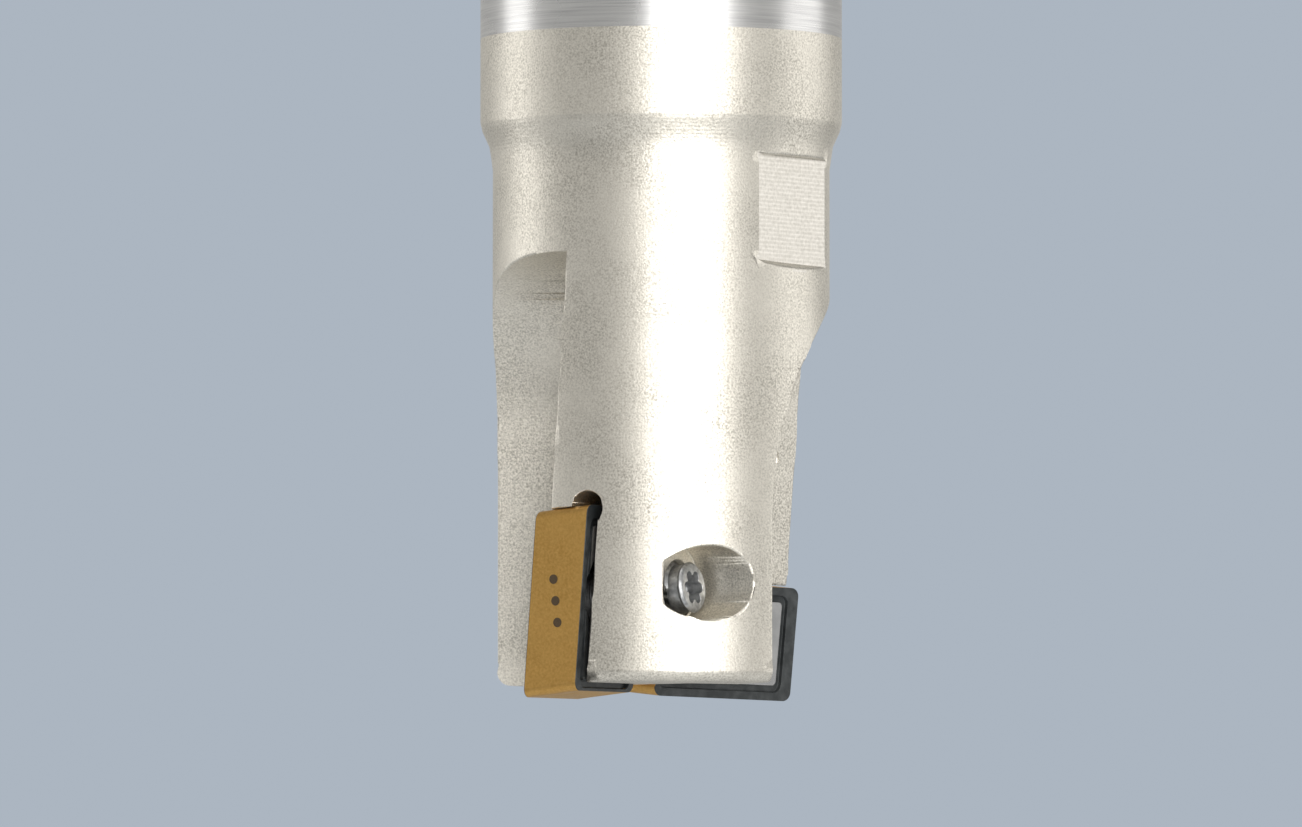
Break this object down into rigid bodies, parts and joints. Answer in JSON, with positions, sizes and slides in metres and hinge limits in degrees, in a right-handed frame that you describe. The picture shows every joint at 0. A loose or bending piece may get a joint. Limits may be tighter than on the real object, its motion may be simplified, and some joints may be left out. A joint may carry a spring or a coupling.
{
  "type": "indexable shank milling cutter",
  "caption": "Shank milling cutter with an upright side-cutting insert and a flat centre-cutting insert, each held by one countersunk screw.",
  "frame": {"origin": "on the tool axis, in the plane of the lowest cutting edges", "axes": "+Z along the tool axis towards the shank, -Y towards the side that shows the upright insert's flank"},
  "size_m": [0.032, 0.032, 0.111],
  "materials": {
    "plated_steel": "blasted and nickel plated",
    "coated_carbide": "gold coated flanks, dark faces",
    "screw_steel": "dark zinc"
  },
  "bodies": {
    "cutter_body": {"cutter_body": "plated_steel"},
    "outer_insert": {"outer_insert": "coated_carbide"},
    "centre_insert": {"centre_insert": "coated_carbide"},
    "outer_insert_screw": {"outer_insert_screw": "screw_steel"},
    "centre_insert_screw": {"centre_insert_screw": "screw_steel"}
  },
  "joints": [
    {"name": "outer_insert_lift", "type": "slide", "parent": "cutter_body", "child": "outer_insert", "axis": [-0.8613, 0.4973, -0.1045], "range_m": [0, 0.012]},
    {"name": "centre_insert_lift", "type": "slide", "parent": "cutter_body", "child": "centre_insert", "axis": [0.789, -0.6054, -0.1045], "range_m": [0, 0.0048]},
    {"name": "outer_screw_turn", "type": "hinge", "parent": "outer_insert", "child": "outer_insert_screw", "pos_m": [-0.00671, -0.00776, 0.00839], "axis": [-0.8613, 0.4973, -0.1045], "range_deg": [0, 5410]},
    {"name": "centre_screw_turn", "type": "hinge", "parent": "centre_insert", "child": "centre_insert_screw", "pos_m": [0.00376, 0.00386, 0.00545], "axis": [0.789, -0.6054, -0.1045], "range_deg": [0, 2170]}
  ],
  "couplings": [
    {"joint": "outer_screw_turn", "follows": "outer_insert_lift", "rad_per_m": 7854},
    {"joint": "centre_screw_turn", "follows": "centre_insert_lift", "rad_per_m": 7854}
  ]
}
